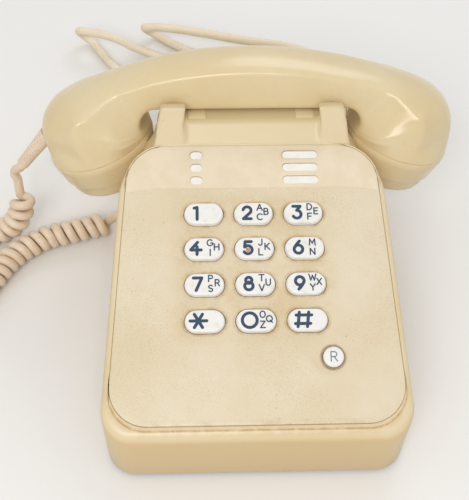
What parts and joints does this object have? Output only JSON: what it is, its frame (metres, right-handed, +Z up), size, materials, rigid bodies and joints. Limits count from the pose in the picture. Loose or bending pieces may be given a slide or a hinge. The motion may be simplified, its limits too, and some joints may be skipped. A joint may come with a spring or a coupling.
{
  "type": "corded desk telephone",
  "caption": "Desk telephone with a wedge-shaped body, sloping push-button plate, a handset across a horned cradle, a curly handset cord and a line cord.",
  "frame": {"origin": "on the table, under the middle of the body", "axes": "+X to the right as the user faces the keys, +Y to the rear, +Z up"},
  "size_m": [0.3359, 0.3113, 0.1155],
  "materials": {
    "body_plastic": "satin, aged cream",
    "base_plastic": "matte",
    "plate_plastic": "fine satin with light wear",
    "handset_plastic": "satin gloss, slightly yellowed",
    "key_plastic": "satin",
    "ring_plastic": "matte",
    "clear_plastic": "clear",
    "card": "uncoated",
    "cord_vinyl": "satin vinyl",
    "foot_rubber": "matte",
    "steel": "zinc plated",
    "board": "lacquered board",
    "dark_plastic": "matte",
    "light_plastic": "satin",
    "can": "sleeved",
    "copper": "enamelled wire",
    "gong_metal": "polished"
  },
  "bodies": {
    "phone": {"body_cover": "body_plastic", "base_plate": "base_plastic", "feet": "foot_rubber", "cover_screws": "steel", "faceplate": "plate_plastic", "label_card": "card", "label_window": "clear_plastic", "key_r_ring": "ring_plastic", "keypad_board": "board", "key_switches": "dark_plastic", "keypad_screws": "steel", "hook_switch": "dark_plastic", "main_board": "board", "transformer": "steel", "capacitors": "can", "terminal_block": "light_plastic", "ringer_frame": "steel", "ringer_coil": "copper", "gong_left": "gong_metal", "gong_right": "gong_metal", "gong_screws": "steel", "line_cord_grip": "cord_vinyl", "handset_cord_grip": "cord_vinyl", "line_cord": "cord_vinyl", "line_coil": "cord_vinyl", "line_plug": "light_plastic", "handset_cord": "cord_vinyl"},
    "handset": {"handset_shell": "handset_plastic", "mouth_cap": "handset_plastic", "ear_cap": "handset_plastic", "mouth_capsule": "dark_plastic", "ear_capsule": "dark_plastic", "handset_boot": "cord_vinyl"},
    "hook": {"hook_plunger": "body_plastic"},
    "clapper": {"ringer_clapper": "steel"},
    "key_1_cap": {"key_1": "key_plastic"},
    "key_2_cap": {"key_2": "key_plastic"},
    "key_3_cap": {"key_3": "key_plastic"},
    "key_4_cap": {"key_4": "key_plastic"},
    "key_5_cap": {"key_5": "key_plastic"},
    "key_6_cap": {"key_6": "key_plastic"},
    "key_7_cap": {"key_7": "key_plastic"},
    "key_8_cap": {"key_8": "key_plastic"},
    "key_9_cap": {"key_9": "key_plastic"},
    "key_star_cap": {"key_star": "key_plastic"},
    "key_0_cap": {"key_0": "key_plastic"},
    "key_hash_cap": {"key_hash": "key_plastic"},
    "key_r_cap": {"key_r": "key_plastic"}
  },
  "joints": [
    {"name": "handset_lift", "type": "slide", "parent": "phone", "child": "handset", "axis": [0, 0.1908, 0.9816], "range_m": [0, 0.08], "deforming": ["handset_cord"]},
    {"name": "hook_rise", "type": "slide", "parent": "phone", "child": "hook", "axis": [0, 0.1908, 0.9816], "range_m": [0, 0.004]},
    {"name": "clapper_swing", "type": "hinge", "parent": "phone", "child": "clapper", "pos_m": [0, 0.04046, 0.0132], "axis": [0, 0, 1], "range_deg": [-3.5, 3.5], "stiffness_Nm_per_rad": 0.01},
    {"name": "key_1_press", "type": "slide", "parent": "phone", "child": "key_1_cap", "axis": [0, 0.3469, -0.9379], "range_m": [0, 0.0025], "stiffness_N_per_m": 400},
    {"name": "key_2_press", "type": "slide", "parent": "phone", "child": "key_2_cap", "axis": [0, 0.3469, -0.9379], "range_m": [0, 0.0025], "stiffness_N_per_m": 400},
    {"name": "key_3_press", "type": "slide", "parent": "phone", "child": "key_3_cap", "axis": [0, 0.3469, -0.9379], "range_m": [0, 0.0025], "stiffness_N_per_m": 400},
    {"name": "key_4_press", "type": "slide", "parent": "phone", "child": "key_4_cap", "axis": [0, 0.3469, -0.9379], "range_m": [0, 0.0025], "stiffness_N_per_m": 400},
    {"name": "key_5_press", "type": "slide", "parent": "phone", "child": "key_5_cap", "axis": [0, 0.3469, -0.9379], "range_m": [0, 0.0025], "stiffness_N_per_m": 400},
    {"name": "key_6_press", "type": "slide", "parent": "phone", "child": "key_6_cap", "axis": [0, 0.3469, -0.9379], "range_m": [0, 0.0025], "stiffness_N_per_m": 400},
    {"name": "key_7_press", "type": "slide", "parent": "phone", "child": "key_7_cap", "axis": [0, 0.3469, -0.9379], "range_m": [0, 0.0025], "stiffness_N_per_m": 400},
    {"name": "key_8_press", "type": "slide", "parent": "phone", "child": "key_8_cap", "axis": [0, 0.3469, -0.9379], "range_m": [0, 0.0025], "stiffness_N_per_m": 400},
    {"name": "key_9_press", "type": "slide", "parent": "phone", "child": "key_9_cap", "axis": [0, 0.3469, -0.9379], "range_m": [0, 0.0025], "stiffness_N_per_m": 400},
    {"name": "key_star_press", "type": "slide", "parent": "phone", "child": "key_star_cap", "axis": [0, 0.3469, -0.9379], "range_m": [0, 0.0025], "stiffness_N_per_m": 400},
    {"name": "key_0_press", "type": "slide", "parent": "phone", "child": "key_0_cap", "axis": [0, 0.3469, -0.9379], "range_m": [0, 0.0025], "stiffness_N_per_m": 400},
    {"name": "key_hash_press", "type": "slide", "parent": "phone", "child": "key_hash_cap", "axis": [0, 0.3469, -0.9379], "range_m": [0, 0.0025], "stiffness_N_per_m": 400},
    {"name": "key_r_press", "type": "slide", "parent": "phone", "child": "key_r_cap", "axis": [0, 0.3469, -0.9379], "range_m": [0, 0.0025], "stiffness_N_per_m": 400}
  ],
  "couplings": [
    {"joint": "hook_rise", "follows": "handset_lift", "ratio": 0.05}
  ]
}
